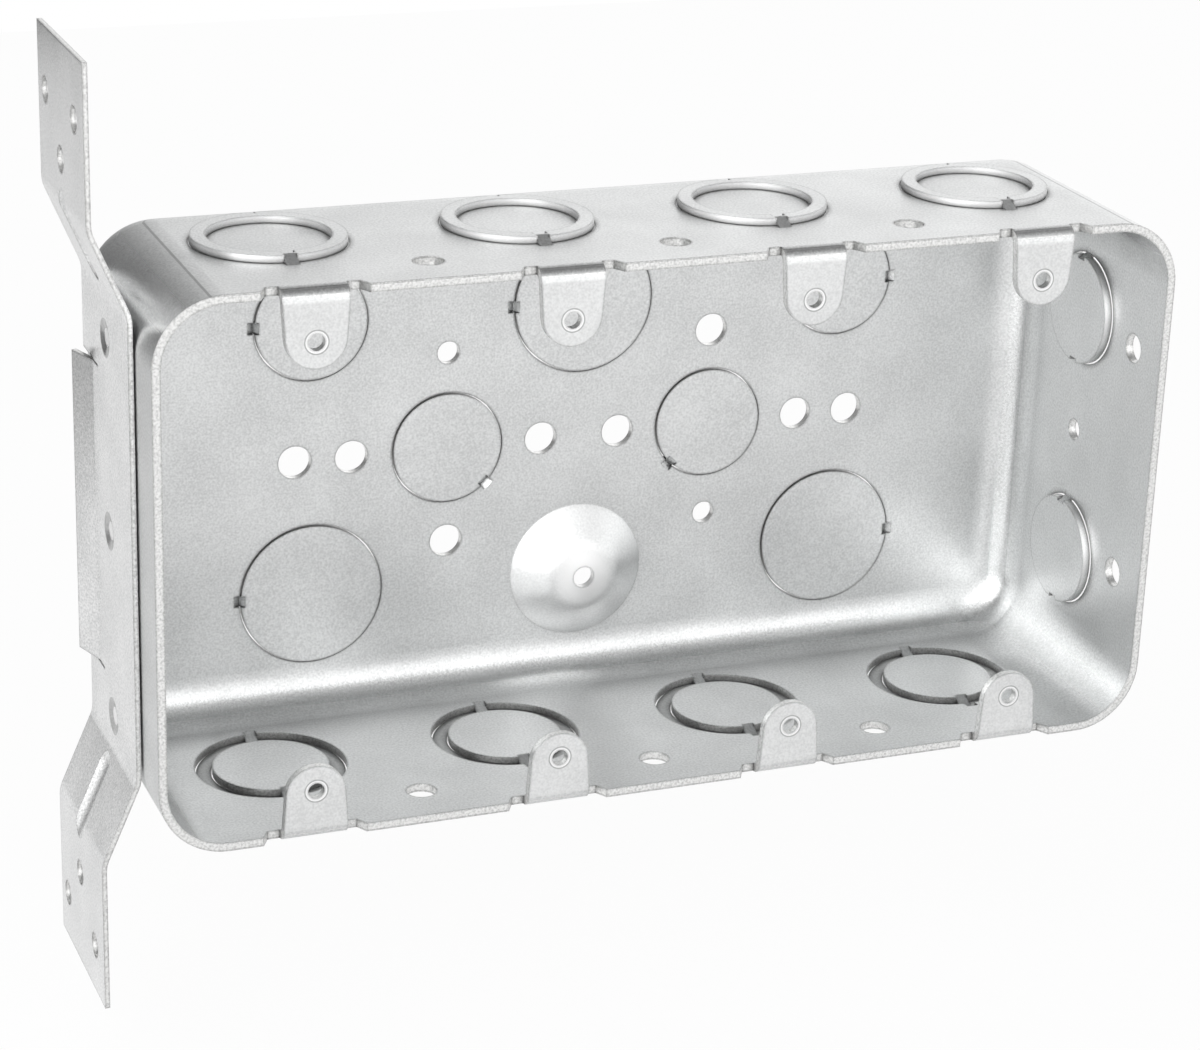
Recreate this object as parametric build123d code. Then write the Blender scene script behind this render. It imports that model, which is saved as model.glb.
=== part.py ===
"""Four gang switch box: a deep drawn sheet steel box with folded device tabs and a welded stud bracket.

Millimetres, +Z up. The open front faces -Y and the origin is the middle of the back wall's outside.
"""
import os

from build123d import *

# Sheet and drawn shell
sheet = 1.6
box_width = 194.8
box_height = 102.4
box_depth = 55.4
corner_radius = 12.7
back_radius = 9.5

# Device places: one pair of tabs for each gang
gang_count = 4
gang_pitch = 46.04
device_screw_span = 83.34
tab_width = 11.9
tab_tip_radius = 5.5
tab_tip_beyond_screw = 4.8
tab_bend_inside = 1.0
tab_relief_depth = 2.3
tab_relief_side = 3.6
tab_relief_slope = 1.3
device_screw_radius = 1.5

# Knockouts: the shear gap is the line left by the punch, the ties hold each blank in place
half_inch_radius = 11.1
three_quarter_radius = 14.1
shear_gap = 0.28
tie_width = 2.3
tie_reach = 1.1
ring_tie_share = 0.44
tie_dent = 0.9
end_push = 1.7
back_push = 0.35
ring_push = 1.35
wall_knockout_depth = 26.5
end_knockout_depth = 26.0
end_knockout_rise = 25.2

# Fixing holes in the walls
wall_hole_radius = 2.8
wall_hole_setback = 10.0
end_hole_rise = 23.0
end_centre_hole_radius = 2.1

# Back wall: everything sits on one square grid around the half inch knockouts
back_grid = 26.99
back_hole_ring = 19.05
back_hole_outer = 57.15
back_hole_radius = 3.2
back_tapped_radius = 2.2

# Ground screw dome
dome_drop = 28.0
dome_base_radius = 13.6
dome_top_radius = 6.6
dome_height = 5.0
dome_crown = 0.9
dome_round = 6.0
dome_inset = 0.5
ground_screw_radius = 2.1

# Stud bracket: a thinner strip, held off the wall by its weld spots
bracket_sheet = 0.9
bracket_width = 33.9
bracket_rear = 10.4
bracket_rise = 1.8
bracket_half_length = 86.9
bracket_end_bend = 58.3
bracket_mid_bend = 43.0
bracket_joggle = 6.6
bracket_bend = 6.0
weld_gap = 0.3
weld_pitch = 35.8
weld_drop = 1.4
weld_radius = 2.6
weld_dimple_radius = 3.2
weld_dimple_floor = 1.4
weld_dimple_depth = 0.45
nail_radius = 2.35
nail_row_inset = 10.2
nail_row_half = 10.8
nail_single_inset = 19.7
nail_drop = 0.9
rib_line_setback = 1.0
rib_radius = 4.0
rib_depth = 1.1
rib_reach = 12.0
lip_half_length = 28.7
lip_fold = 7.3
lip_angle = 18.0
lip_bend = 1.2
lance_cut = 0.3

# Derived levels, and lengths of cutters that pass one wall or the whole box
outer_bend = tab_bend_inside + sheet
tab_front = -box_depth + tab_relief_depth - outer_bend
through_wall = 4 * sheet
through_box = box_width
ring_tie_reach = ring_tie_share * (three_quarter_radius - half_inch_radius)
bracket_middle_x = -box_width / 2 - weld_gap - bracket_sheet / 2
bracket_end_x = bracket_middle_x - bracket_joggle
bracket_middle_y = -bracket_rear - bracket_width / 2
rib_line_y = bracket_middle_y + rib_line_setback


def drawn_block(width, height, depth, corner, rear):
    """Solid block with rounded corners and a rounded back edge, its back on y = 0."""
    block = extrude(Plane.XZ * RectangleRounded(width, height, corner), depth)
    return fillet(block.faces().sort_by(Axis.Y)[-1].edges(), rear)


def drawn_shell():
    """Plain drawn box, open towards -Y."""
    outside = drawn_block(box_width, box_height, box_depth, corner_radius, back_radius)
    inside = drawn_block(
        box_width - 2 * sheet,
        box_height - 2 * sheet,
        box_depth,
        corner_radius - sheet,
        back_radius - sheet,
    )
    return outside - Pos(0, -sheet, 0) * inside


def gang_positions():
    """X of each device place."""
    first = -gang_pitch * (gang_count - 1) / 2
    return [first + gang_pitch * index for index in range(gang_count)]


def gap_positions():
    """X of the middle between neighbouring device places."""
    places = gang_positions()
    return [(left + right) / 2 for left, right in zip(places, places[1:])]


def tab_relief():
    """Notch in the top rim that frees one tab, seen from above as a trapezium."""
    bottom = tab_width / 2 + tab_relief_side - tab_relief_slope
    mouth = tab_width / 2 + tab_relief_side
    notch = Polygon(
        (-mouth, -box_depth),
        (mouth, -box_depth),
        (bottom, -box_depth + tab_relief_depth),
        (-bottom, -box_depth + tab_relief_depth),
        align=None,
    )
    return extrude(Plane.XY.offset(box_height / 2) * notch, through_wall / 2, both=True)


def device_tab():
    """One tab folded down from the top rim, with its screw hole."""
    bend_line = box_height / 2 - outer_bend
    screw_rise = device_screw_span / 2
    tip_centre = screw_rise - tab_tip_beyond_screw + tab_tip_radius
    quarter = Rectangle(outer_bend, outer_bend, align=(Align.MAX, Align.MIN))
    ring = (Circle(outer_bend) - Circle(tab_bend_inside)) & quarter
    bend_plane = Plane.YZ * Pos(-box_depth + tab_relief_depth, bend_line)
    bend = extrude(bend_plane * ring, tab_width / 2, both=True)
    base = Line((-tab_width / 2, bend_line), (tab_width / 2, bend_line))
    tip = Pos(0, tip_centre) * CenterArc((0, 0), tab_tip_radius, 0, 360)
    outline = make_hull([base, tip.edge()])
    front = Plane.XZ.offset(-tab_front)
    plate = extrude(front * outline, -sheet)
    screw = front * Pos(0, screw_rise)
    return bend + plate - screw * Cylinder(device_screw_radius, through_wall)


def single_knockout(radius, push, angles):
    """Blank pushed out of a wall, as (pieces kept, cutters). The wall lies below z = 0.

    Each tie slopes from the wall to the blank and is pinched in the middle by the punch.
    """
    blank = Cylinder(radius - shear_gap, sheet, align=(Align.CENTER, Align.CENTER, Align.MAX))
    slope = Polygon(
        (radius + tie_reach, 0),
        (radius, push / 2 - tie_dent),
        (radius - tie_reach, push),
        (radius - tie_reach, push - sheet),
        (radius + tie_reach, -sheet),
        align=None,
    )
    tie = extrude(Plane.XZ * slope, tie_width / 2, both=True)
    room = Pos(radius, 0, 0) * Box(2 * tie_reach, tie_width, 2 * through_wall)
    ties = [Rot(0, 0, angle) * tie for angle in angles]
    rooms = [Rot(0, 0, angle) * room for angle in angles]
    return [Pos(0, 0, push) * blank - rooms] + ties, [Cylinder(radius, through_wall)] + rooms


def ring_tie(foot, head):
    """Tie that climbs from wall level at one radius to the ring at another, and the room it fills."""
    slope = Polygon(
        (foot, 0),
        (head, ring_push),
        (head, ring_push - sheet),
        (foot, -sheet),
        align=None,
    )
    tie = extrude(Plane.XZ * slope, tie_width / 2, both=True)
    room = Pos((foot + head) / 2, 0, 0) * Box(abs(head - foot), tie_width, 2 * through_wall)
    return tie, room


def concentric_knockout(outer_angles, inner_angles):
    """Half inch blank in a three quarter inch ring, as (pieces kept, cutters).

    Only the ring is pushed out. Outer ties hold the ring to the wall, inner ties hold the blank to the ring.
    """
    below = (Align.CENTER, Align.CENTER, Align.MAX)
    blank = Cylinder(half_inch_radius - shear_gap, sheet, align=below)
    ring = Cylinder(three_quarter_radius - shear_gap, sheet, align=below)
    ring -= Cylinder(half_inch_radius, through_wall)
    outer = ring_tie(three_quarter_radius + ring_tie_reach, three_quarter_radius - ring_tie_reach)
    inner = ring_tie(half_inch_radius - ring_tie_reach, half_inch_radius + ring_tie_reach)
    ties = []
    rooms = []
    for angles, (tie, room) in ((outer_angles, outer), (inner_angles, inner)):
        ties += [Rot(0, 0, angle) * tie for angle in angles]
        rooms += [Rot(0, 0, angle) * room for angle in angles]
    kept = [blank - rooms, Pos(0, 0, ring_push) * ring - rooms] + ties
    return kept, [Cylinder(three_quarter_radius, through_wall)] + rooms


def placed_knockouts():
    """Every knockout on the face it is pushed towards, as (plane, pieces kept, cutters)."""
    right, left = 0, 180
    lower_right, lower_left = -45, -135
    clockwise, counter = -90, 90
    row = []
    top = (0, 0, 1)
    bottom = (0, 0, -1)
    for x in gang_positions():
        for face, front in ((top, clockwise), (bottom, counter)):
            centre = Vector(x, -wall_knockout_depth, 0) + Vector(*face) * box_height / 2
            outside = Plane(centre, x_dir=(1, 0, 0), z_dir=face)
            row.append((outside, *concentric_knockout((clockwise, counter), (front,))))
    for z in (-end_knockout_rise, end_knockout_rise):
        centre = (box_width / 2 - sheet, -end_knockout_depth, z)
        inside = Plane(centre, x_dir=(0, 1, 0), z_dir=(-1, 0, 0))
        row.append((inside, *single_knockout(half_inch_radius, end_push, (clockwise, counter))))
    back = (
        (-back_grid, 0, half_inch_radius, lower_right),
        (back_grid, 0, half_inch_radius, lower_left),
        (-2 * back_grid, back_grid, half_inch_radius, left),
        (2 * back_grid, back_grid, half_inch_radius, right),
        (-2 * back_grid, -back_grid, three_quarter_radius, left),
        (2 * back_grid, -back_grid, three_quarter_radius, right),
        (0, back_grid, three_quarter_radius, left),
    )
    for x, z, radius, angle in back:
        inside = Plane((x, -sheet, z), x_dir=(1, 0, 0), z_dir=(0, -1, 0))
        row.append((inside, *single_knockout(radius, back_push, (angle,))))
    return row


def back_holes():
    """Fixing holes of the back wall as (x, z, radius), the same turned half round."""
    left = (
        (-back_hole_outer, 0, back_hole_radius),
        (-back_grid - back_hole_ring, 0, back_hole_radius),
        (-back_grid + back_hole_ring, 0, back_hole_radius),
        (-back_grid, -back_hole_ring, back_hole_radius),
        (-back_grid, back_hole_ring, back_tapped_radius),
    )
    return list(left) + [(-x, -z, radius) for x, z, radius in left]


def wall_holes():
    """Cutters for every round hole in the walls."""
    cutters = []
    for x, z, radius in back_holes():
        cutters.append(Pos(x, 0, z) * Rot(90, 0, 0) * Cylinder(radius, through_wall))
    hole_y = -box_depth + wall_hole_setback
    for x in gap_positions():
        cutters.append(Pos(x, hole_y, 0) * Cylinder(wall_hole_radius, through_box))
    end_x = box_width / 2
    for z in (-end_hole_rise, end_hole_rise):
        cutters.append(Pos(end_x, hole_y, z) * Rot(0, 90, 0) * Cylinder(wall_hole_radius, through_wall))
    centre = Pos(end_x, -end_knockout_depth, 0) * Rot(0, 90, 0)
    cutters.append(centre * Cylinder(end_centre_hole_radius, through_wall))
    return cutters


def dome_profile(inset):
    """Half section of the dome with its sloped side and crowned top, standing on y = 0."""
    shoulder = (dome_top_radius - inset, dome_height - dome_crown)
    peak = (0, dome_height)
    crown = TangentArc(peak, shoulder, tangent=(1, 0))
    sides = Polyline(shoulder, (dome_base_radius - inset, 0), (0, 0), peak)
    return make_face([crown] + sides.edges())


def with_ground_dome(box):
    """Presses the dome for the ground screw into the back wall."""
    inside = Plane((0, -sheet, -dome_drop), x_dir=(1, 0, 0), z_dir=(0, -1, 0))
    outline = dome_profile(0)
    shoulder = outline.vertices().sort_by_distance((dome_top_radius, dome_height - dome_crown))[0]
    dome = revolve(Plane.XZ * fillet(shoulder, dome_round), Axis.Z)
    hollow = Pos(0, 0, -sheet) * revolve(Plane.XZ * dome_profile(dome_inset), Axis.Z)
    screw = Cylinder(ground_screw_radius, 4 * dome_height)
    return box + inside * dome - inside * hollow - inside * screw


def switch_box():
    """The whole drawn box: shell, tabs, knockouts, holes and dome."""
    tab = device_tab()
    relief = tab_relief()
    added = []
    removed = wall_holes()
    for x in gang_positions():
        added += [Pos(x, 0, 0) * tab, Pos(x, 0, 0) * mirror(tab, Plane.XY)]
        removed += [Pos(x, 0, 0) * relief, Pos(x, 0, 0) * mirror(relief, Plane.XY)]
    for plane, kept, cutters in placed_knockouts():
        added += [plane * piece for piece in kept]
        removed += [plane * cutter for cutter in cutters]
    return with_ground_dome(drawn_shell() - removed + added).solid()


def bent_strip(points, bend, breadth, inner_extra=0.0):
    """Strip bent along a path. The path is the strip's middle and +X of its section is the inside."""
    path = FilletPolyline(*points, radius=bend)
    section = Rectangle(bracket_sheet + inner_extra, breadth)
    start = Plane(path @ 0, x_dir=(1, 0, 0), z_dir=path % 0)
    return sweep(start * Pos(inner_extra / 2, 0) * section, path=path)


def rib_tool(radius):
    """Round nosed bar lying along the upper slant of the strip, on its outside."""
    slant = Vector(bracket_joggle, 0, bracket_mid_bend - bracket_end_bend).normalized()
    outward = Vector(0, 1, 0).cross(slant)
    corner = Vector(bracket_end_x, rib_line_y, bracket_rise + bracket_end_bend)
    centre = corner + outward * (bracket_sheet / 2 + rib_radius - rib_depth)
    bar = Plane(centre, z_dir=slant) * Cylinder(radius, 2 * rib_reach)
    nose = Pos(*(centre + slant * rib_reach)) * Sphere(radius)
    return bar + nose


def bracket_lip(rear, middle_x):
    """Rear lip lanced from the strip and folded outwards, and the room it is cut from."""
    fold = rear - lip_fold
    centre = bracket_rise - weld_drop
    turn = Vector(0, lip_fold, 0).rotate(Axis.Z, lip_angle)
    knee = Vector(middle_x, fold, centre)
    start = knee - Vector(0, lip_fold / 2, 0)
    lip = bent_strip((start, knee, knee + turn), lip_bend, 2 * lip_half_length)
    room_size = 2 * (lip_half_length + lance_cut)
    room = Pos(middle_x, start.Y, centre) * Box(
        through_wall,
        through_box,
        room_size,
        align=(Align.CENTER, Align.MIN, Align.CENTER),
    )
    return lip, room


def nail_holes():
    """Cutters for the nail holes, three in each end of the bracket."""
    cutters = []
    centre = bracket_rise - nail_drop
    row = bracket_half_length - nail_row_inset
    single = bracket_half_length - nail_single_inset
    places = ((-nail_row_half, row), (nail_row_half, row), (0, single))
    for side in (-1, 1):
        for along, height in places:
            place = Pos(bracket_end_x, rib_line_y + along, centre + side * height)
            cutters.append(place * Rot(0, 90, 0) * Cylinder(nail_radius, through_wall))
    return cutters


def weld_spots():
    """Spot welds as (bosses that meet the box wall, dimples left by the electrode)."""
    across = Rot(0, 90, 0)
    boss = across * Cylinder(weld_radius, weld_gap, align=(Align.CENTER, Align.CENTER, Align.MIN))
    flare = 2 * weld_dimple_radius - weld_dimple_floor
    dimple = across * Cone(flare, weld_dimple_floor, 2 * weld_dimple_depth)
    bosses = []
    dimples = []
    for step in (-1, 0, 1):
        height = bracket_rise - weld_drop + step * weld_pitch
        bosses.append(Pos(bracket_middle_x + bracket_sheet / 2, bracket_middle_y, height) * boss)
        dimples.append(Pos(bracket_middle_x - bracket_sheet / 2, bracket_middle_y, height) * dimple)
    return bosses, dimples


def mounting_bracket():
    """Stud bracket: one joggled strip, welded to the left wall at its middle."""
    heights = (bracket_half_length, bracket_end_bend, bracket_mid_bend)
    offsets = (bracket_end_x, bracket_end_x, bracket_middle_x)
    upper = [(x, bracket_middle_y, bracket_rise + z) for x, z in zip(offsets, heights)]
    lower = [(x, bracket_middle_y, bracket_rise - z) for x, z in zip(offsets, heights)]
    points = upper + lower[::-1]
    strip = bent_strip(points, bracket_bend, bracket_width)
    core = bent_strip(points, bracket_bend, bracket_width, inner_extra=2 * rib_depth)
    ridge = rib_tool(rib_radius + bracket_sheet) & core
    groove = rib_tool(rib_radius)
    centre_plane = Plane.XY.offset(bracket_rise)
    lip, lip_room = bracket_lip(-bracket_rear, bracket_middle_x)
    bosses, dimples = weld_spots()
    strip = strip - lip_room + [ridge, mirror(ridge, centre_plane), lip] + bosses
    removed = [groove, mirror(groove, centre_plane)] + nail_holes() + dimples
    return (strip - removed).solid()


os.makedirs("parts", exist_ok=True)
export_step(switch_box(), "parts/switch_box.step")
export_step(mounting_bracket(), "parts/mounting_bracket.step")
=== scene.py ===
# %% [markdown]
# # Four gang switch box
# The real object is a box pressed from one sheet of galvanised steel, with a thinner folded strip welded to its
# left end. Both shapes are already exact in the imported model, so nothing is remodelled here. This lesson gives the
# two pieces their zinc finish, sets up the camera of the photograph, and lights them like a catalogue picture.

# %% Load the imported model
import math

import bpy
from mathutils import Euler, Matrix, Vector


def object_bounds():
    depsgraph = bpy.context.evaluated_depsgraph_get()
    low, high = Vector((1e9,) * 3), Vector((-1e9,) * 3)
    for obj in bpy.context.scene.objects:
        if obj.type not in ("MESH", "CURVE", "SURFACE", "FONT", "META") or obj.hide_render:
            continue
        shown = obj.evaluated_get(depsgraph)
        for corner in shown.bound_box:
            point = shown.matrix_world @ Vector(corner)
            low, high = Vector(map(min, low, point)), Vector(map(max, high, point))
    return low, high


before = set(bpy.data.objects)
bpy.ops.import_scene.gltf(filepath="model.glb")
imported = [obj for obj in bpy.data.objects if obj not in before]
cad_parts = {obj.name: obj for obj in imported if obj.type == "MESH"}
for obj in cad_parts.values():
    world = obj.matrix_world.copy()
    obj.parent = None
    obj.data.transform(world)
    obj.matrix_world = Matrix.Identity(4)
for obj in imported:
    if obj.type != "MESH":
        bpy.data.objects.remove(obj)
cad_low, cad_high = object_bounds()
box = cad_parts["switch_box"]
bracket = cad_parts["mounting_bracket"]
MM = 0.001
print("CAD box in mm:", [round(v / MM, 1) for v in (*cad_low, *cad_high)])

# %% [markdown]
# ## Camera
# A camera can be matched to a photograph by fitting its place, turn and lens to edges whose sizes are known. Here
# the known sizes are the screw spacing and the pitch of the switches. The fit gave a long lens about 60 cm away,
# a little to the left and above, and a small sideways shift because the picture was cropped.

# %% Camera of the photograph
CAMERA_PLACE_MM = (-221.25, -563.64, 213.9)
CAMERA_TURN_DEG = (68.963, -2.187, -22.205)
LENS_MM = 98.95
SENSOR_MM = 36.0
SHIFT_X = -0.05

camera_data = bpy.data.cameras.new("photo_camera")
camera_data.sensor_width = SENSOR_MM
camera_data.lens = LENS_MM
camera_data.shift_x = SHIFT_X
camera = bpy.data.objects.new("photo_camera", camera_data)
camera.location = Vector(CAMERA_PLACE_MM) * MM
camera.rotation_euler = Euler([math.radians(a) for a in CAMERA_TURN_DEG])
bpy.context.scene.collection.objects.link(camera)
bpy.context.scene.camera = camera
box_centre = (cad_low + cad_high) / 2
print("camera to box centre in mm:", round((camera.location - box_centre).length / MM))

# %% [markdown]
# ## Small helpers for materials
# Colours are written as the sRGB hex values that a picture editor shows, and one function turns them into the
# linear values that shaders work with. A second function adds a node, sets its sockets and links its inputs, so
# that a material reads as a short list of steps. An input can be a value, a socket, or a node, whose first output
# is then used. Some nodes repeat their socket names, so those inputs go by number: a Map Range has its four limits
# at 1 to 4, and a Mix has two numbers at 2 and 3 and two colours at 6 and 7.


# %% Colour and node helpers
def linear(hex_colour):
    """Linear RGBA of an sRGB hex colour."""
    parts = [int(hex_colour[i : i + 2], 16) / 255 for i in (1, 3, 5)]
    return (*[c / 12.92 if c <= 0.04045 else ((c + 0.055) / 1.055) ** 2.4 for c in parts], 1.0)


def add(tree, kind, settings=None, **inputs):
    """Adds a node. Settings are its properties. Inputs go by socket name, or as i0, i1 and so on by number."""
    node = tree.nodes.new(kind)
    for name, value in (settings or {}).items():
        setattr(node, name, value)
    for name, value in inputs.items():
        socket = node.inputs[int(name[1:]) if name[1:].isdigit() else name]
        if isinstance(value, bpy.types.Node):
            value = value.outputs[0]
        if isinstance(value, bpy.types.NodeSocket):
            tree.links.new(value, socket)
        else:
            socket.default_value = value
    return node


def new_material(name):
    """An empty node material and its tree."""
    material = bpy.data.materials.new(name)
    material.use_nodes = True
    material.node_tree.nodes.clear()
    return material, material.node_tree


def per_metre(size_mm):
    """Texture scale that gives features of about this size, for coordinates in metres."""
    return 1.0 / (size_mm * MM)


MATH = "ShaderNodeMath"
VECTOR = "ShaderNodeVectorMath"
RANGE = "ShaderNodeMapRange"
MIX = "ShaderNodeMix"
COLOURS = {"data_type": "RGBA"}
TIMES = {"operation": "MULTIPLY"}
TIMES_PLUS = {"operation": "MULTIPLY_ADD"}
print("mid grey #808080 is linear", round(linear("#808080")[0], 3))

# %% [markdown]
# ## Where the sheet was cut or rubbed, and where light and shade are painted
# The finish has to know which faces a punch cut, which a tool rubbed bright, where a highlight is painted, and where
# a dark line, a heat tint or painted shade darkens it. Such places could be painted by hand, but the sizes of the box
# already say where they are. A cut face lies inside the sheet's thickness and stands across it, so a mask asks two
# questions: how far a spot is from the middle of a sheet, and which way its face looks. The Compare operation
# answers both: it gives 1 where its first input is within the third of the second. Masks are then joined, by a
# product where all of them must hold and by the largest where any of them will do.


# %% Questions about a spot on the sheet
SLACK_MM = 0.04
EDGE_ON = 0.35
WITHIN = {"operation": "COMPARE"}
ALL_OF = TIMES
ANY_OF = {"operation": "MAXIMUM"}
DISTANCE = {"operation": "DISTANCE"}


def spot_and_facing(tree):
    """Distances from the three middle planes and the way the face looks, both without sign, by axis."""
    coordinates = add(tree, "ShaderNodeTexCoord").outputs
    spot = add(tree, VECTOR, {"operation": "ABSOLUTE"}, i0=coordinates["Object"])
    facing = add(tree, VECTOR, {"operation": "ABSOLUTE"}, i0=coordinates["Normal"])
    return (
        add(tree, "ShaderNodeSeparateXYZ", Vector=spot).outputs,
        add(tree, "ShaderNodeSeparateXYZ", Vector=facing).outputs,
    )


def joined(tree, operation, *masks):
    """Any number of masks joined by one operation."""
    result = masks[0]
    for mask in masks[1:]:
        result = add(tree, MATH, operation, i0=result, i1=mask)
    return result


def across_sheet(tree, spot, facing, axis, middle_mm, half_mm):
    """1 on faces that stand across a sheet, within its thickness."""
    inside = add(tree, MATH, WITHIN, i0=spot[axis], i1=middle_mm * MM, i2=(half_mm + SLACK_MM) * MM)
    across = add(tree, MATH, WITHIN, i0=facing[axis], i1=0.0, i2=EDGE_ON)
    return joined(tree, ALL_OF, inside, across)


print("masks allow", SLACK_MM, "mm of slack")

# %% [markdown]
# ## Marks and painted light on the box
# The punched holes, the tab edges and the rim are cut faces. The rims of the pushed blanks lie just past the wall;
# they are paler, partly rubbed by the shear and partly as a painted highlight. The top of the dome is painted with a
# highlight that fades to a weaker one on its flank. The tab fronts are painted paler as painted light, since they
# stand in front and catch more light, and a ring of painted highlight with a thin dark line outside it lies around
# each screw hole in the tabs. The floors of the ring knockout grooves, as seen from inside, get painted shade. The
# tab holes repeat at the pitch of the switches, so the length is wrapped to that pitch and one ring serves all eight.
# Every mask of a piece takes the same inputs, so that the finish can call them all alike.


# %% Masks of the box
SHEET_MM = 1.6
SHEET_MIDDLES_MM = {"X": 96.6, "Y": 0.8, "Z": 50.4}
PUSHED_RIMS_MM = {"X": (94.95, 0.85), "Y": (1.78, 0.18), "Z": (51.9, 0.68)}  # middle and half a width
TAB_MIDDLE_MM = 54.9
TAB_REACH_MM = {"X": 80.0, "Z": 49.5}
RIM_MM = 55.4
DOME_PLACE_MM = (0.0, -1.6, -28.0)
DOME_RADIUS_MM = 13.8
DOME_TOP_MM = (5.5, 8.5)  # the full painted highlight ends at the first radius and the fall at the second
DOME_FLANK_HIGHLIGHT = 0.35
GROOVE_FLOOR_MM = 50.95
TAB_HOLE_MM = {"X": 23.02, "Y": 55.7, "Z": 41.67}
TAB_PITCH_MM = 46.04
# A painted highlight ring around each tab hole, and a thin dark line just outside it.
HOLE_HIGHLIGHT_RING_MM = (1.75, 0.25)  # middle radius and half a width
HOLE_DARK_LINE_MM = (2.12, 0.12)
# Share of painted light that makes the tab fronts paler.
TAB_PAINTED_LIGHT = 0.25


def box_cut_faces(tree, spot, facing):
    """Holes, shear gaps, tab edges and the rim."""
    tabs = [across_sheet(tree, spot, facing, "Y", TAB_MIDDLE_MM, SHEET_MM / 2)]
    for axis, reach in TAB_REACH_MM.items():
        tabs.append(add(tree, MATH, WITHIN, i0=spot[axis], i1=0.0, i2=reach * MM))
    walls = []
    for axis, middle in SHEET_MIDDLES_MM.items():
        walls.append(across_sheet(tree, spot, facing, axis, middle, SHEET_MM / 2))
    at_rim = add(tree, MATH, WITHIN, i0=spot["Y"], i1=RIM_MM * MM, i2=SLACK_MM * MM)
    to_front = add(tree, MATH, WITHIN, i0=facing["Y"], i1=1.0, i2=EDGE_ON)
    rim = joined(tree, ALL_OF, at_rim, to_front)
    return joined(tree, ANY_OF, joined(tree, ALL_OF, *tabs), *walls, rim)


def tab_fronts(tree, spot):
    """1 on the front faces of the tabs."""
    return add(tree, MATH, WITHIN, i0=spot["Y"], i1=TAB_HOLE_MM["Y"] * MM, i2=SLACK_MM * MM)


def tab_hole_ring(tree, spot, ring_mm):
    """1 on a ring around each screw hole in the tabs, of a middle radius and half a width."""
    folded = add(tree, MATH, {"operation": "WRAP"}, i0=spot["X"], i1=TAB_PITCH_MM * MM, i2=0.0)
    flat = add(tree, "ShaderNodeCombineXYZ", X=folded, Z=spot["Z"])
    centre = (TAB_HOLE_MM["X"] * MM, 0.0, TAB_HOLE_MM["Z"] * MM)
    far = add(tree, VECTOR, DISTANCE, i0=flat, i1=centre).outputs["Value"]
    radius, half_width = ring_mm
    ring = add(tree, MATH, WITHIN, i0=far, i1=radius * MM, i2=half_width * MM)
    return joined(tree, ALL_OF, ring, tab_fronts(tree, spot))


def box_rubbed_and_highlit_faces(tree, spot, facing):
    """Painted highlights on the dome top, the tab fronts and around the tab holes, and the rims of pushed blanks,
    paler from the shear and from a painted highlight.
    """
    centre = [v * MM for v in DOME_PLACE_MM]
    place = add(tree, "ShaderNodeTexCoord").outputs["Object"]
    far = add(tree, VECTOR, DISTANCE, i0=place, i1=centre).outputs["Value"]
    top, flank = [v * MM for v in DOME_TOP_MM]
    smooth = {"interpolation_type": "SMOOTHSTEP"}
    # Painted highlight: the top of the dome is painted paler, and its flank a little.
    polish_and_highlight = add(tree, RANGE, smooth, Value=far, i1=top, i2=flank, i3=1.0, i4=DOME_FLANK_HIGHLIGHT)
    on_dome = add(tree, MATH, WITHIN, i0=far, i1=0.0, i2=DOME_RADIUS_MM * MM)
    dome = joined(tree, ALL_OF, polish_and_highlight, on_dome)
    # The rims of the pushed blanks are paler, partly rubbed by the shear and partly a painted highlight.
    rims = [across_sheet(tree, spot, facing, axis, *rim) for axis, rim in PUSHED_RIMS_MM.items()]
    # Painted light: the tab fronts, which stand in front of the box, are painted paler.
    tabs = add(tree, MATH, TIMES, i0=tab_fronts(tree, spot), i1=TAB_PAINTED_LIGHT)
    return joined(tree, ANY_OF, dome, tabs, tab_hole_ring(tree, spot, HOLE_HIGHLIGHT_RING_MM), *rims)


def box_groove_shade_and_hole_lines(tree, spot, facing):
    """Painted shade on the floors of the ring grooves, and a thin dark line around the highlight rings of the tab
    holes.
    """
    # Painted shade on the groove floors.
    groove = add(tree, MATH, WITHIN, i0=spot["Z"], i1=GROOVE_FLOOR_MM * MM, i2=SLACK_MM * MM)
    return joined(tree, ANY_OF, groove, tab_hole_ring(tree, spot, HOLE_DARK_LINE_MM))


print("ring grooves have their floor at", GROOVE_FLOOR_MM, "mm from the middle")

# %% [markdown]
# ## Marks on the strip
# The strip was sheared along both edges and pierced, so every face that does not look left or right is a cut face.
# The floors of the three weld marks are paler, pressed bright by the electrode and painted as a highlight, and a thin
# dark ring around each is partly the heat tint of the weld and partly painted shade. The rings repeat at the pitch
# of the welds, so the height is wrapped to that pitch and one ring serves all three.


# %% Masks of the strip
WELD_FLOOR_MM = 98.15
WELD_PLACE_MM = (27.35, 0.4)  # depth of all three, and height of the middle one
WELD_PITCH_MM = 35.8
WELD_REACH_MM = 60.0
HEAT_AND_SHADE_RING_MM = (2.6, 0.9)  # middle radius and half a width


def strip_cut_faces(tree, spot, facing):
    """Sheared edges and holes."""
    return add(tree, MATH, WITHIN, i0=facing["X"], i1=0.0, i2=EDGE_ON)


def strip_pressed_and_highlit_faces(tree, spot, facing):
    """Floors of the weld marks, pressed bright by the electrode and given a painted highlight."""
    return add(tree, MATH, WITHIN, i0=spot["X"], i1=WELD_FLOOR_MM * MM, i2=SLACK_MM * MM)


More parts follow.
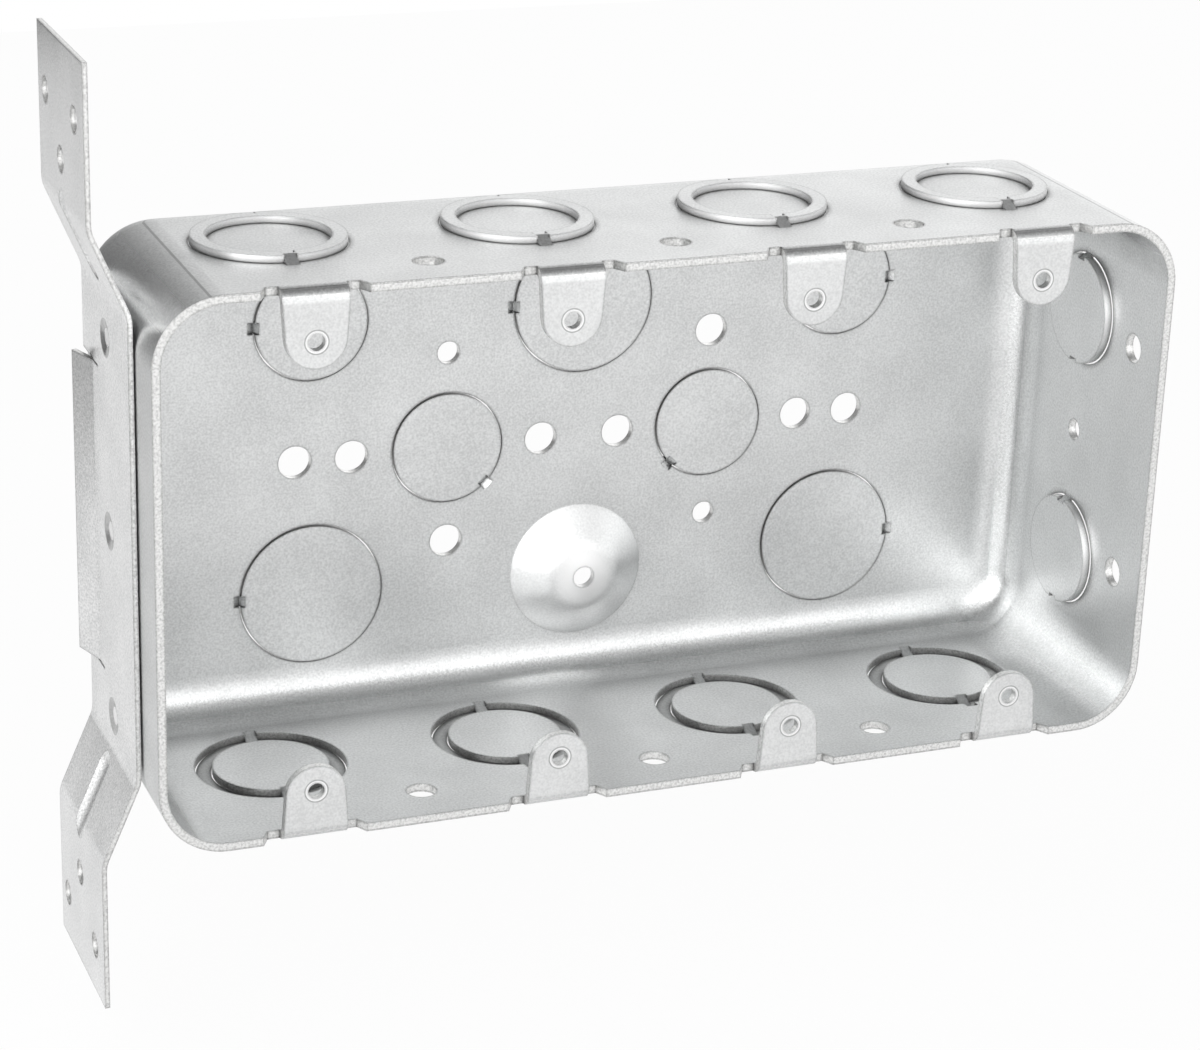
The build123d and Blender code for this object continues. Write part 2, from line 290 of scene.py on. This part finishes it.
def strip_heat_tint_and_shade(tree, spot, facing):
    """Dark rings around the weld marks, partly heat tint and partly painted shade."""
    place = add(tree, "ShaderNodeTexCoord").outputs["Object"]
    height = add(tree, "ShaderNodeSeparateXYZ", Vector=place).outputs["Z"]
    depth, rise = WELD_PLACE_MM
    half = WELD_PITCH_MM / 2
    low, high = (rise - half) * MM, (rise + half) * MM
    folded = add(tree, MATH, {"operation": "WRAP"}, i0=height, i1=high, i2=low)
    flat = add(tree, "ShaderNodeCombineXYZ", X=spot["Y"], Y=folded)
    centre = (depth * MM, rise * MM, 0.0)
    far = add(tree, VECTOR, DISTANCE, i0=flat, i1=centre).outputs["Value"]
    radius, half_width = HEAT_AND_SHADE_RING_MM
    # Dark ring: heat tint of the weld and painted shade around the dimple.
    ring = add(tree, MATH, WITHIN, i0=far, i1=radius * MM, i2=half_width * MM)
    near_welds = add(tree, MATH, WITHIN, i0=spot["Z"], i1=0.0, i2=WELD_REACH_MM * MM)
    sideways = add(tree, MATH, WITHIN, i0=facing["X"], i1=1.0, i2=EDGE_ON)
    return joined(tree, ALL_OF, ring, near_welds, sideways)


print("weld marks repeat every", WELD_PITCH_MM, "mm")

# %% [markdown]
# ## Zinc and bare steel
# The sheet was dipped in zinc and rolled before it was pressed. That gives a bright, satin grey metal with a fine
# grain and soft cloudy patches. A punch tears the last part of its way through the sheet, so a sheared face is
# bare, bright steel with small pits. Both colours are noise between two greys, with sizes taken from the sheet.


# %% Colours of the sheet
CLOUD_MM = 14.0  # soft patches from the zinc bath
GRAIN_MM = 0.42  # rolled grain, drawn coarse enough to show at this picture size
TORN_MM = 0.45  # pits on a sheared edge
CLOUD_DETAIL, GRAIN_DETAIL, TORN_DETAIL = 3.0, 1.0, 2.0
GRAIN_SPREAD = (0.25, 0.75)  # the part of the noise that is used
GRAIN_SHARE = 0.5  # how much grain lightens or darkens the clouds
TORN_SPREAD = (0.3, 0.6)
PIT_STEEL, BRIGHT_STEEL = "#CFCFCE", "#F7F7F6"


def zinc_tone(tree, place, pale, dull, seed):
    """Colour of the zinc, from fine grain over soft clouds, and the grain itself."""
    shifted = add(tree, VECTOR, {"operation": "ADD"}, i0=place, i1=(seed, seed, seed))
    cloud_sizes = {"Scale": per_metre(CLOUD_MM), "Detail": CLOUD_DETAIL}
    clouds = add(tree, "ShaderNodeTexNoise", Vector=shifted, **cloud_sizes)
    grain_sizes = {"Scale": per_metre(GRAIN_MM), "Detail": GRAIN_DETAIL}
    grain = add(tree, "ShaderNodeTexNoise", Vector=shifted, **grain_sizes)
    low, high = GRAIN_SPREAD
    spots = add(tree, RANGE, Value=grain, i1=low, i2=high, i3=-GRAIN_SHARE, i4=GRAIN_SHARE)
    tone = add(tree, MATH, {"operation": "ADD"}, i0=spots, i1=clouds)
    zinc = add(tree, MIX, COLOURS, i0=tone, i6=linear(dull), i7=linear(pale))
    return zinc.outputs[2], grain


def bare_steel(tree, place):
    """Colour of a sheared face: bright steel with torn pits."""
    torn_sizes = {"Scale": per_metre(TORN_MM), "Detail": TORN_DETAIL}
    torn = add(tree, "ShaderNodeTexNoise", Vector=place, **torn_sizes)
    low, high = TORN_SPREAD
    tear = add(tree, RANGE, Value=torn, i1=low, i2=high)
    steel = add(tree, MIX, COLOURS, i0=tear, i6=linear(PIT_STEEL), i7=linear(BRIGHT_STEEL))
    return steel.outputs[2]


print("grain of", GRAIN_MM, "mm is a texture scale of", round(per_metre(GRAIN_MM)))

# %% [markdown]
# ## Edges and crevices
# Edges of pressed sheet are never quite sharp. A Bevel node rounds them for the light without changing the mesh,
# and the turn of its normal shows where the edge is; there a thin dark line is painted, partly the real burr and
# partly painted shade of the rounded edge. Narrow corners get painted shade, which an Ambient Occlusion node finds.
# Few samples are enough for both, because the render adds up many.


# %% Shade of edges and crevices
EDGE_ROUND_MM = 0.6
CREVICE_MM = 1.6
NODE_SAMPLES = 2
BURR_TURN = (0.82, 0.96)  # cosines between which the dark edge line, burr and painted shade, fades
BURR_SHADE = 0.35
CREVICE_OPEN = (0.45, 0.9)  # shares of open view between which the shade fades
CREVICE_SHADE = 0.3
MARK_SHADE = 0.6


def edge_shade(tree, rounded, mark):
    """How much of the colour the painted shade of burr lines and crevices, and the dark marks, leave."""
    true_normal = add(tree, "ShaderNodeNewGeometry").outputs["Normal"]
    product = {"operation": "DOT_PRODUCT"}
    turn = add(tree, VECTOR, product, i0=rounded, i1=true_normal).outputs["Value"]
    low, high = BURR_TURN
    # Painted shade along edges, partly the real burr line.
    burr_and_edge_shade = add(tree, RANGE, Value=turn, i1=low, i2=high, i3=BURR_SHADE, i4=1.0)
    # Painted shade in narrow corners.
    own_mesh = {"samples": NODE_SAMPLES, "only_local": True}
    view = add(tree, "ShaderNodeAmbientOcclusion", own_mesh, Distance=CREVICE_MM * MM).outputs["AO"]
    low, high = CREVICE_OPEN
    crevice = add(tree, RANGE, Value=view, i1=low, i2=high, i3=CREVICE_SHADE, i4=1.0)
    # The dark marks of each piece, painted shade among them, darken the colour as well.
    marks_and_shade = add(tree, RANGE, Value=mark, i3=1.0, i4=MARK_SHADE)
    return joined(tree, ALL_OF, crevice, burr_and_edge_shade, marks_and_shade)


print("edges are rounded over", EDGE_ROUND_MM, "mm")

# %% [markdown]
# ## Galvanised sheet steel
# A metal gets its colour from what it reflects, so the finish stays plain: fully metallic, a pale neutral colour,
# and a roughness that changes from the flat walls to the bends, which slid over the tools and became smoother.
# Places that a tool rubbed are paler and scuffed, and the same paler colour is painted as a highlight on the dome,
# the tab fronts, the rings around the tab holes and the rims of the blanks. Painted shade along edges, in crevices
# and on the dark marks darkens the colour. The grain also gives a very low bump, which breaks up the
# reflections as the zinc skin of real sheet does.


# %% The zinc finish
BEND_ROUGHNESS = 0.27
CUT_ROUGHNESS = 0.3
SCUFF_ROUGHNESS = 0.45
FLAT_WALL = (0.85, 0.95)  # the largest part of the normal, from a bend to a flat wall
RUBBED_AND_HIGHLIT_ZINC = "#FAFAFA"
GRAIN_RISE_MM = 0.02
GRAIN_STRENGTH = 0.3


def galvanised_steel(name, pale, dull, roughness, seed, cut_faces, rubbed_and_highlit_faces, dark_marks_and_shade):
    """Zinc coated sheet. The last three functions give the masks of the piece."""
    material, tree = new_material(name)
    place = add(tree, "ShaderNodeTexCoord").outputs["Object"]
    spot, facing = spot_and_facing(tree)
    cut = cut_faces(tree, spot, facing)
    polish_and_highlight = rubbed_and_highlit_faces(tree, spot, facing)
    mark = dark_marks_and_shade(tree, spot, facing)

    zinc, grain = zinc_tone(tree, place, pale, dull, seed)
    # Paler colour where a tool rubbed the zinc and where a highlight is painted.
    zinc = add(tree, MIX, COLOURS, i0=polish_and_highlight, i6=zinc, i7=linear(RUBBED_AND_HIGHLIT_ZINC)).outputs[2]
    metal = add(tree, MIX, COLOURS, i0=cut, i6=zinc, i7=bare_steel(tree, place)).outputs[2]

    flat = joined(tree, ANY_OF, facing["X"], facing["Y"], facing["Z"])
    bend, wall = FLAT_WALL
    satin = add(tree, RANGE, Value=flat, i1=bend, i2=wall, i3=BEND_ROUGHNESS, i4=roughness)
    satin = add(tree, MIX, i0=polish_and_highlight, i2=satin, i3=SCUFF_ROUGHNESS)
    rough = add(tree, MIX, i0=cut, i2=satin, i3=CUT_ROUGHNESS)

    rounded = add(tree, "ShaderNodeBevel", {"samples": NODE_SAMPLES}, Radius=EDGE_ROUND_MM * MM)
    # The painted shade of edges, crevices and dark marks darkens the colour here.
    shade = edge_shade(tree, rounded, mark)
    darken = {**COLOURS, "blend_type": "MULTIPLY"}
    colour = add(tree, MIX, darken, i0=1.0, i6=metal, i7=shade).outputs[2]
    rise = {"Strength": GRAIN_STRENGTH, "Distance": GRAIN_RISE_MM * MM}
    bump = add(tree, "ShaderNodeBump", Height=grain, Normal=rounded, **rise)

    steel = {"Base Color": colour, "Metallic": 1.0, "Roughness": rough, "Normal": bump}
    shader = add(tree, "ShaderNodeBsdfPrincipled", **steel)
    add(tree, "ShaderNodeOutputMaterial", Surface=shader)
    return material


print("flat walls end where the normal's largest part falls below", FLAT_WALL[1])

# %% [markdown]
# ## Dressing the two pieces
# The strip comes from another coil of sheet than the box. It is thinner and was not drawn, so its zinc is a little
# paler and smoother.

# %% Finishes of the box and the strip
# Drawn sheet: the press stretched its zinc, which leaves a soft satin and broad, blurred reflections.
box_zinc = galvanised_steel(
    "galvanised_sheet_steel_box",
    pale="#E8E9E9",
    dull="#CCCDCD",
    roughness=0.38,
    seed=0.0,
    cut_faces=box_cut_faces,
    rubbed_and_highlit_faces=box_rubbed_and_highlit_faces,
    dark_marks_and_shade=box_groove_shade_and_hole_lines,
)
# Rolled strip: its zinc is as the rolls left it, which gives a brighter face and clearer reflections.
strip_zinc = galvanised_steel(
    "galvanised_sheet_steel_strip",
    pale="#FEFEFE",
    dull="#D2D3D3",
    roughness=0.22,
    seed=3.7,
    cut_faces=strip_cut_faces,
    rubbed_and_highlit_faces=strip_pressed_and_highlit_faces,
    dark_marks_and_shade=strip_heat_tint_and_shade,
)
for node, material in ((box, box_zinc), (bracket, strip_zinc)):
    node.data.materials.clear()
    node.data.materials.append(material)
    print(node.name, "has", len(node.data.polygons), "faces and the finish", material.name)

# %% [markdown]
# ## White paper floor
# The catalogue picture has a plain white ground. The floor is a sheet of white paper a little below the strip's lower
# end. Part of what the camera and the metal see of it is plain white, and the rest is the paper as the lamps light it.
# So the ground is white as in the photograph, and it still keeps a faint shadow of the box.

# %% Floor
FLOOR_DROP_MM = 15.0
PAPER_LEFT_M, PAPER_RIGHT_M = -0.33, 0.9
PAPER_FRONT_M, PAPER_BACK_M = -1.2, 0.8
PAPER_IN_METAL = 0.22
PAPER_IN_CAMERA = 0.93
PAPER, WHITE = "#F2F2F2", "#FFFFFF"

floor_mesh = bpy.data.meshes.new("floor")
floor_level = cad_low.z - FLOOR_DROP_MM * MM
front_edge = [(PAPER_LEFT_M, PAPER_FRONT_M, 0), (PAPER_RIGHT_M, PAPER_FRONT_M, 0)]
back_edge = [(PAPER_RIGHT_M, PAPER_BACK_M, 0), (PAPER_LEFT_M, PAPER_BACK_M, 0)]
floor_mesh.from_pydata(front_edge + back_edge, [], [(0, 1, 2, 3)])
floor = bpy.data.objects.new("floor", floor_mesh)
floor.location.z = floor_level
bpy.context.scene.collection.objects.link(floor)

# Matt paper scatters the light evenly, so it shows no highlight and only a soft shadow.
paper, tree = new_material("white_paper_floor")
rays = add(tree, "ShaderNodeLightPath").outputs
shiny = joined(tree, ANY_OF, rays["Is Glossy Ray"], rays["Is Transmission Ray"])
direct = add(tree, MATH, TIMES, i0=rays["Is Camera Ray"], i1=PAPER_IN_CAMERA)
seen = add(tree, MATH, TIMES_PLUS, i0=shiny, i1=PAPER_IN_METAL, i2=direct)
matt = add(tree, "ShaderNodeBsdfDiffuse", Color=linear(PAPER))
white = add(tree, "ShaderNodeEmission", Color=linear(WHITE), Strength=1.0)
ground = add(tree, "ShaderNodeMixShader", i0=seen, i1=matt, i2=white)
add(tree, "ShaderNodeOutputMaterial", Surface=ground)
floor_mesh.materials.append(paper)
print("floor lies at z =", round(floor_level / MM), "mm")

# %% [markdown]
# ## The studio room
# Bare metal shows the room it stands in, so the room matters more than the lamps. An image of a studio could be
# wrapped around the scene. Here the room is a few soft glows instead, each a direction and a level, which stand
# for white panels around the box and, low at the left, for a bright floor past the paper. Their middle is cut off
# at the white of a panel, so a strong glow is a wide panel and not a hot spot. The ceiling and the corner behind
# stay dark, and that gives the bends their dark lines. Where the camera looks straight at the room it is plain
# white, and the metal sees a little of that white.

# %% World
WHITE_IN_METAL = 0.1
GLOW_WIDTH = 8.0  # a larger number makes a narrower glow
PANEL_WHITE = 1.25
GLOWS = {
    "right": ((1.0, 0.0, 0.1), 2.2),
    "right_front": ((0.75, -0.65, 0.2), 1.6),
    "left_front": ((-0.75, -0.65, 0.45), 4.5),
    "front_high": ((0.0, -0.8, 0.6), 0.4),
    "back_right": ((0.6, 0.8, 0.2), 1.8),
    "upper_left": ((-0.75, 0.0, 0.65), 3.8),
    "low_left": ((-0.88, 0.3, -0.35), 0.5),
}

world = bpy.data.worlds.new("studio")
bpy.context.scene.world = world
world.use_nodes = True
tree = world.node_tree
tree.nodes.clear()
way = add(tree, "ShaderNodeTexCoord").outputs["Generated"]
rays = add(tree, "ShaderNodeLightPath").outputs
shiny = joined(tree, ANY_OF, rays["Is Glossy Ray"], rays["Is Transmission Ray"])
room = add(tree, MATH, TIMES, i0=shiny, i1=WHITE_IN_METAL)
for name, (side, level) in GLOWS.items():
    towards = Vector(side).normalized()
    turn = add(tree, VECTOR, {"operation": "DOT_PRODUCT"}, i0=way, i1=towards).outputs["Value"]
    fall = add(tree, MATH, TIMES_PLUS, i0=turn, i1=GLOW_WIDTH, i2=-GLOW_WIDTH)
    glow = add(tree, MATH, {"operation": "EXPONENT"}, i0=fall)
    room = add(tree, MATH, {**TIMES_PLUS, "label": name}, i0=glow, i1=level, i2=room)
panels = add(tree, MATH, {"operation": "MINIMUM"}, i0=room, i1=PANEL_WHITE)
strength = joined(tree, ANY_OF, panels, rays["Is Camera Ray"])
sky = add(tree, "ShaderNodeBackground", Color=linear(WHITE), Strength=strength)
add(tree, "ShaderNodeOutputWorld", Surface=sky)
print("glows of the room:", ", ".join(GLOWS))

# %% [markdown]
# ## Soft studio lamps
# Large round lamps stand in for softboxes: their wide shapes are what the satin metal mirrors as broad, soft
# highlights. The big one stands behind the camera, and its upper edge draws the sharp end of the bright band
# along the bottom of the back wall. Each lamp is a place and a size in metres, and a power in watts.

# %% Lamps
LAMPS = {
    "front_softbox": ((0.09, -1.28, 0.3), 1.5, 4.0),
    "front_left_softbox": ((-0.9, -0.75, 0.3), 1.2, 5.2),
}
AIM_M = Vector((0.0, -0.02, 0.0))
for name, (place, size, watts) in LAMPS.items():
    lamp_data = bpy.data.lights.new(name, "AREA")
    lamp_data.shape = "DISK"
    lamp_data.size = size
    lamp_data.energy = watts
    lamp = bpy.data.objects.new(name, lamp_data)
    lamp.location = place
    lamp.rotation_euler = (AIM_M - lamp.location).to_track_quat("-Z", "Y").to_euler()
    bpy.context.scene.collection.objects.link(lamp)
print("lamps:", ", ".join(LAMPS))

# %% [markdown]
# The Standard view shows colours as they are written.

# %% Finish
bpy.context.scene.view_settings.view_transform = "Standard"
